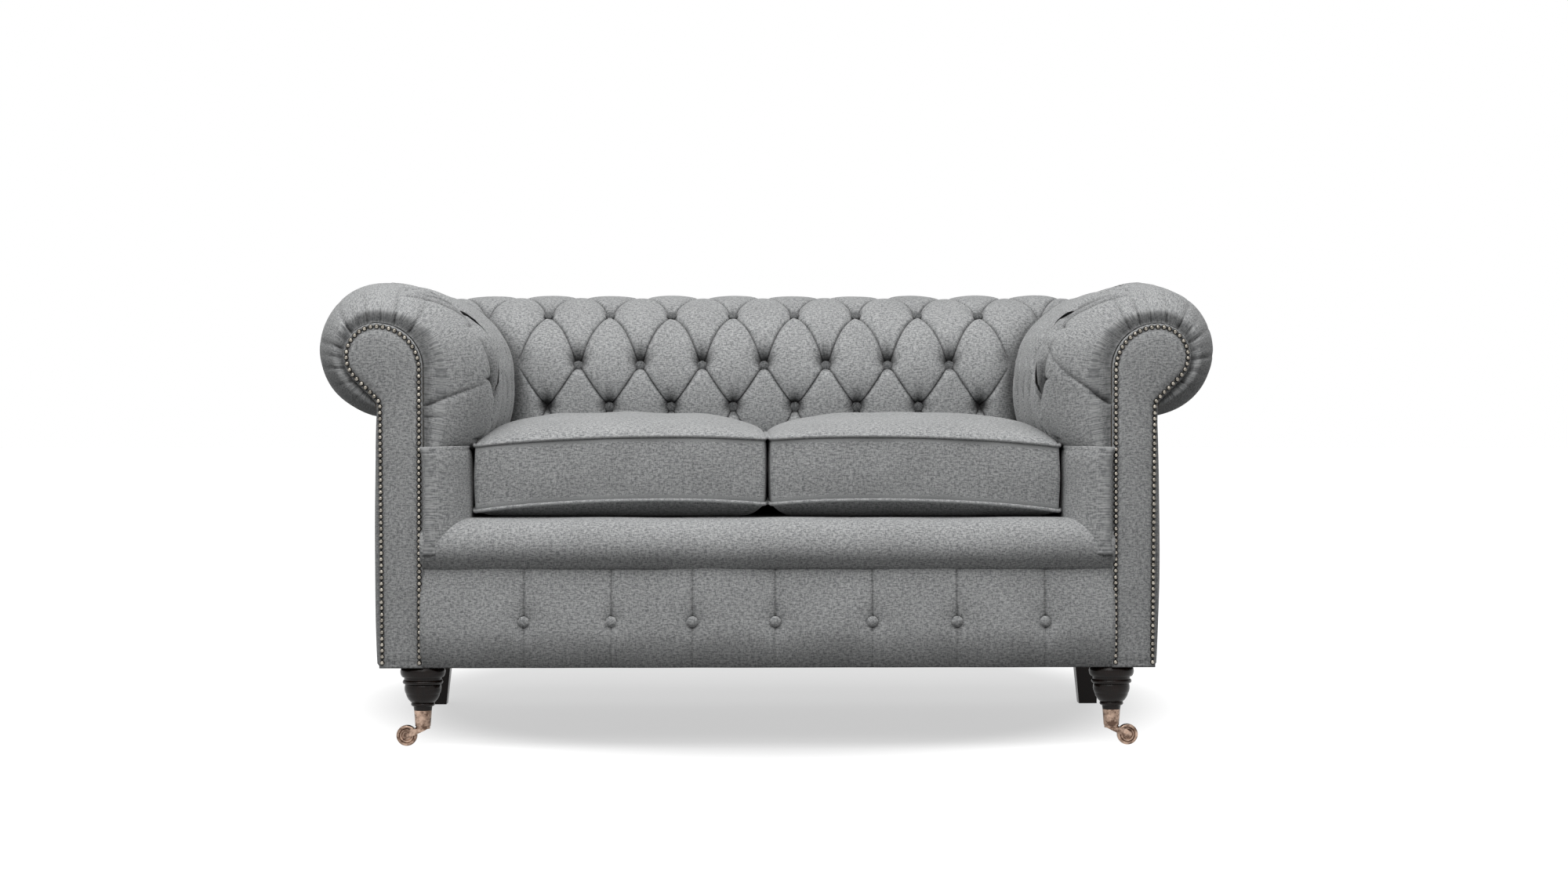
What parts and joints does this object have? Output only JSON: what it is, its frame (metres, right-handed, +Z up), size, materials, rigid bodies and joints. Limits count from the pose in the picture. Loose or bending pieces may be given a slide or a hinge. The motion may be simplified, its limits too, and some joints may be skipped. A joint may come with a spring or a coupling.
{
  "type": "chesterfield sofa",
  "caption": "Compact chesterfield sofa with deep-buttoned rolled arms and back at one height, loose seat cushions and turned front legs on castors.",
  "frame": {"origin": "on the floor under the middle of the sofa's outer box", "axes": "+X to the right seen from the front and along the longest extent, +Y to the back, +Z up"},
  "size_m": [1.53, 0.9, 0.7836],
  "materials": {
    "upholstery": "woven melange cloth",
    "facing_cloth": "woven melange cloth, tight over a board",
    "button_cloth": "woven cloth over a button shell",
    "foam": "open foam",
    "lining_cloth": "black lining cloth",
    "hessian": "coarse jute",
    "webbing": "woven strap",
    "frame_wood": "sawn beech",
    "leg_wood": "dark stained, polished",
    "spring_steel": "oiled wire",
    "bolt_steel": "zinc plated",
    "antique_brass": "aged, lacquered"
  },
  "bodies": {
    "sofa": {"arm_buttons_left": "button_cloth", "arm_buttons_right": "button_cloth", "arm_facing_left": "facing_cloth", "arm_facing_right": "facing_cloth", "arm_front_puff_left": "upholstery", "arm_front_puff_right": "upholstery", "arm_pad_left": "upholstery", "arm_pad_right": "upholstery", "arm_studs": "frame_wood", "arm_top_rail_left": "frame_wood", "arm_top_rail_right": "frame_wood", "arm_webbing": "webbing", "back_buttons": "button_cloth", "back_post_left": "frame_wood", "back_post_right": "frame_wood", "back_seat_rail": "frame_wood", "back_studs": "frame_wood", "back_top_rail": "frame_wood", "back_webbing": "webbing", "base_tacking_rails": "frame_wood", "castor_cup_left": "antique_brass", "castor_cup_right": "antique_brass", "dust_cover": "lining_cloth", "foot_blocks": "frame_wood", "front_arm_post_left": "frame_wood", "front_arm_post_right": "frame_wood", "front_leg_left": "leg_wood", "front_leg_right": "leg_wood", "front_panel": "upholstery", "front_panel_buttons": "button_cloth", "front_seat_rail": "frame_wood", "inside_arm_lower_left": "upholstery", "inside_arm_lower_right": "upholstery", "inside_back_lower": "upholstery", "inside_back_pad": "upholstery", "leg_bolts": "bolt_steel", "outside_arm_left": "upholstery", "outside_arm_right": "upholstery", "outside_back": "upholstery", "rear_leg_left": "leg_wood", "rear_leg_right": "leg_wood", "roll_corners": "upholstery", "seat_centre_brace": "frame_wood", "seat_deck_pad": "upholstery", "seat_hessian": "hessian", "seat_lip": "upholstery", "seat_springs": "spring_steel", "side_seat_rail_left": "frame_wood", "side_seat_rail_right": "frame_wood", "spring_clips": "spring_steel"},
    "castor_left": {"castor_horn_left": "antique_brass", "castor_axle_left": "antique_brass"},
    "castor_right": {"castor_horn_right": "antique_brass", "castor_axle_right": "antique_brass"},
    "wheel_left": {"castor_wheel_left": "antique_brass"},
    "wheel_right": {"castor_wheel_right": "antique_brass"},
    "cushion_left": {"cushion_cover_left": "upholstery", "cushion_foam_left": "foam"},
    "cushion_right": {"cushion_cover_right": "upholstery", "cushion_foam_right": "foam"}
  },
  "joints": [
    {"name": "castor_swivel_left", "type": "hinge", "parent": "sofa", "child": "castor_left", "pos_m": [-0.582, -0.405, 0.0335], "axis": [0, 0, 1], "continuous": true},
    {"name": "wheel_spin_left", "type": "hinge", "parent": "castor_left", "child": "wheel_left", "pos_m": [-0.609, -0.405, 0.0175], "axis": [0, 1, 0], "continuous": true},
    {"name": "cushion_slide_left", "type": "slide", "parent": "sofa", "child": "cushion_left", "axis": [0, -1, 0], "range_m": [0, 0.6]},
    {"name": "castor_swivel_right", "type": "hinge", "parent": "sofa", "child": "castor_right", "pos_m": [0.582, -0.405, 0.0335], "axis": [0, 0, 1], "continuous": true},
    {"name": "wheel_spin_right", "type": "hinge", "parent": "castor_right", "child": "wheel_right", "pos_m": [0.609, -0.405, 0.0175], "axis": [0, 1, 0], "continuous": true},
    {"name": "cushion_slide_right", "type": "slide", "parent": "sofa", "child": "cushion_right", "axis": [0, -1, 0], "range_m": [0, 0.6]}
  ]
}
